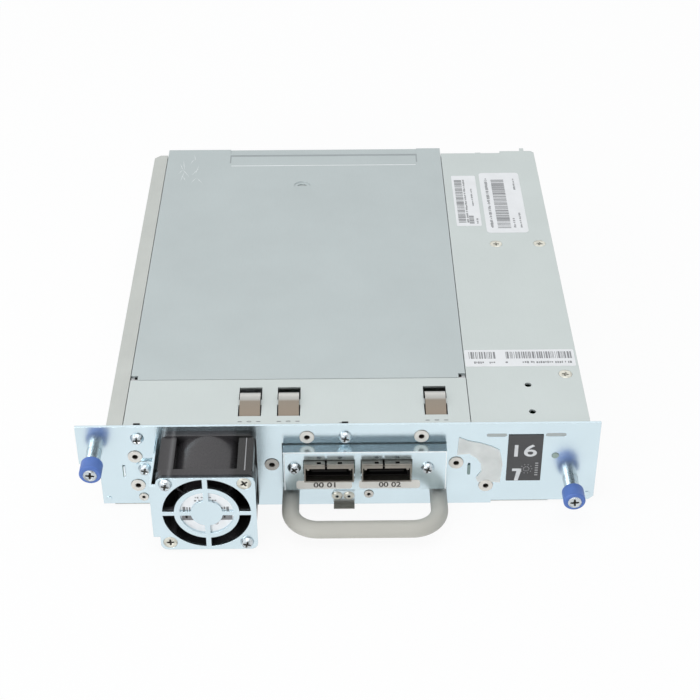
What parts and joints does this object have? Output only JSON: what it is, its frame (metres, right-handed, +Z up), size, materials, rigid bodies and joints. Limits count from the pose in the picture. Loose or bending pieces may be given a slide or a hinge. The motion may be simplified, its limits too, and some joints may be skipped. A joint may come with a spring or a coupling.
{
  "type": "data tape drive",
  "caption": "Half-height data tape drive in a library sled with service plate, fan, serial ports, pull handle and captive thumbscrews.",
  "frame": {"origin": "on the tray's underside, in the plate's centre plane, where the tray meets the back face of the service plate", "axes": "+X to the right and +Y away from someone facing the service plate, +Z up"},
  "size_m": [0.221, 0.2694, 0.0458],
  "materials": {
    "sheet": "satin zinc sheet",
    "plate": "bright zinc plate",
    "drive_sheet": "blue-grey zinc sheet",
    "fastener": "nickel",
    "clip": "nickel spring",
    "fan_plastic": "black moulded",
    "wire": "red, black and yellow leads",
    "plug": "natural nylon",
    "cage": "nickel cage",
    "insert": "black insulator",
    "board": "green board",
    "grip": "warm grey coating",
    "knob": "blue nylon",
    "casting": "cast",
    "dark_plastic": "dark moulding",
    "lens": "clear green",
    "reel_plastic": "pale moulding"
  },
  "bodies": {
    "sled": {"tray": "sheet", "front_strip": "sheet", "side_cover": "sheet", "cover_screws": "fastener", "drive_screws": "fastener", "plate_screws": "fastener", "bracket_screws": "fastener", "plate_nuts": "fastener", "faceplate": "plate", "top_clips": "clip", "bottom_clip": "clip", "clip_rivets": "fastener", "fan_frame": "fan_plastic", "fan_bracket": "plate", "guard_screws": "fastener", "fan_wires": "wire", "fan_plug": "plug", "port_bracket": "plate", "port_cage_a": "cage", "port_cage_b": "cage", "port_insert_a": "insert", "port_insert_b": "insert", "port_card": "board", "handle": "grip", "handle_screws": "fastener", "left_ferrule": "fastener", "right_ferrule": "fastener", "drive_chassis": "casting", "drive_bottom": "sheet", "drive_cover": "drive_sheet", "drive_board": "board", "door_pin": "fastener", "reel_motors": "casting", "sled_board": "board", "rear_bracket": "sheet", "dock_connector": "dark_plastic", "guide_pins": "fastener", "status_lens": "lens"},
    "fan_wheel": {"fan_rotor": "fan_plastic"},
    "left_plunger": {"left_ring": "fastener", "left_spring": "fastener"},
    "left_thumbscrew": {"left_screw": "fastener", "left_knob": "knob"},
    "right_plunger": {"right_ring": "fastener", "right_spring": "fastener"},
    "right_thumbscrew": {"right_screw": "fastener", "right_knob": "knob"},
    "tape_door": {"cartridge_door": "dark_plastic"},
    "carriage": {"cartridge_tray": "sheet"},
    "cams": {"loader_cam_left": "sheet", "loader_cam_right": "sheet"},
    "reel": {"take_up_reel": "reel_plastic"},
    "chuck": {"supply_chuck": "reel_plastic"},
    "roller_1": {"guide_roller_1": "casting"},
    "roller_2": {"guide_roller_2": "casting"},
    "roller_3": {"guide_roller_3": "casting"},
    "roller_4": {"guide_roller_4": "casting"},
    "head": {"tape_head": "casting"},
    "threader": {"threader_arm": "sheet"}
  },
  "joints": [
    {"name": "fan_spin", "type": "hinge", "parent": "sled", "child": "fan_wheel", "pos_m": [-0.0544, -0.02, 0.0217], "axis": [0, 1, 0], "continuous": true},
    {"name": "left_press", "type": "slide", "parent": "sled", "child": "left_plunger", "axis": [0, 1, 0], "range_m": [0, 0.004], "stiffness_N_per_m": 300, "springref_m": -0.002, "deforming": ["left_spring"]},
    {"name": "left_turn", "type": "hinge", "parent": "left_plunger", "child": "left_thumbscrew", "pos_m": [-0.1034, -0.012, 0.0303], "axis": [0, 1, 0], "continuous": true},
    {"name": "right_press", "type": "slide", "parent": "sled", "child": "right_plunger", "axis": [0, 1, 0], "range_m": [0, 0.004], "stiffness_N_per_m": 300, "springref_m": -0.002, "deforming": ["right_spring"]},
    {"name": "right_turn", "type": "hinge", "parent": "right_plunger", "child": "right_thumbscrew", "pos_m": [0.0998, -0.012, 0.0131], "axis": [0, 1, 0], "continuous": true},
    {"name": "door_swing", "type": "hinge", "parent": "sled", "child": "tape_door", "pos_m": [-0.007, 0.2338, 0.0386], "axis": [-1, 0, 0], "range_deg": [0, 90], "stiffness_Nm_per_rad": 0.004, "springref_deg": -11.46},
    {"name": "cam_slide", "type": "slide", "parent": "sled", "child": "cams", "axis": [0, 1, 0], "range_m": [0, 0.014]},
    {"name": "carriage_drop", "type": "slide", "parent": "sled", "child": "carriage", "axis": [0, 0, -1], "range_m": [0, 0.003]},
    {"name": "reel_spin", "type": "hinge", "parent": "sled", "child": "reel", "pos_m": [0.006, 0.082, 0.02], "axis": [0, 0, 1], "continuous": true},
    {"name": "chuck_spin", "type": "hinge", "parent": "sled", "child": "chuck", "pos_m": [-0.007, 0.182, 0.016], "axis": [0, 0, 1], "continuous": true},
    {"name": "roller_1_spin", "type": "hinge", "parent": "sled", "child": "roller_1", "pos_m": [-0.062, 0.112, 0.021], "axis": [0, 0, 1], "continuous": true},
    {"name": "roller_2_spin", "type": "hinge", "parent": "sled", "child": "roller_2", "pos_m": [-0.07, 0.098, 0.021], "axis": [0, 0, 1], "continuous": true},
    {"name": "roller_3_spin", "type": "hinge", "parent": "sled", "child": "roller_3", "pos_m": [-0.07, 0.068, 0.021], "axis": [0, 0, 1], "continuous": true},
    {"name": "roller_4_spin", "type": "hinge", "parent": "sled", "child": "roller_4", "pos_m": [-0.058, 0.05, 0.021], "axis": [0, 0, 1], "continuous": true},
    {"name": "head_shift", "type": "slide", "parent": "sled", "child": "head", "axis": [0, 0, 1], "range_m": [0, 0.003]},
    {"name": "threader_swing", "type": "hinge", "parent": "sled", "child": "threader", "pos_m": [-0.046, 0.123, 0.033], "axis": [0, 0, 1], "range_deg": [0, 55]}
  ],
  "couplings": [
    {"joint": "carriage_drop", "follows": "cam_slide", "ratio": 0.21429}
  ]
}
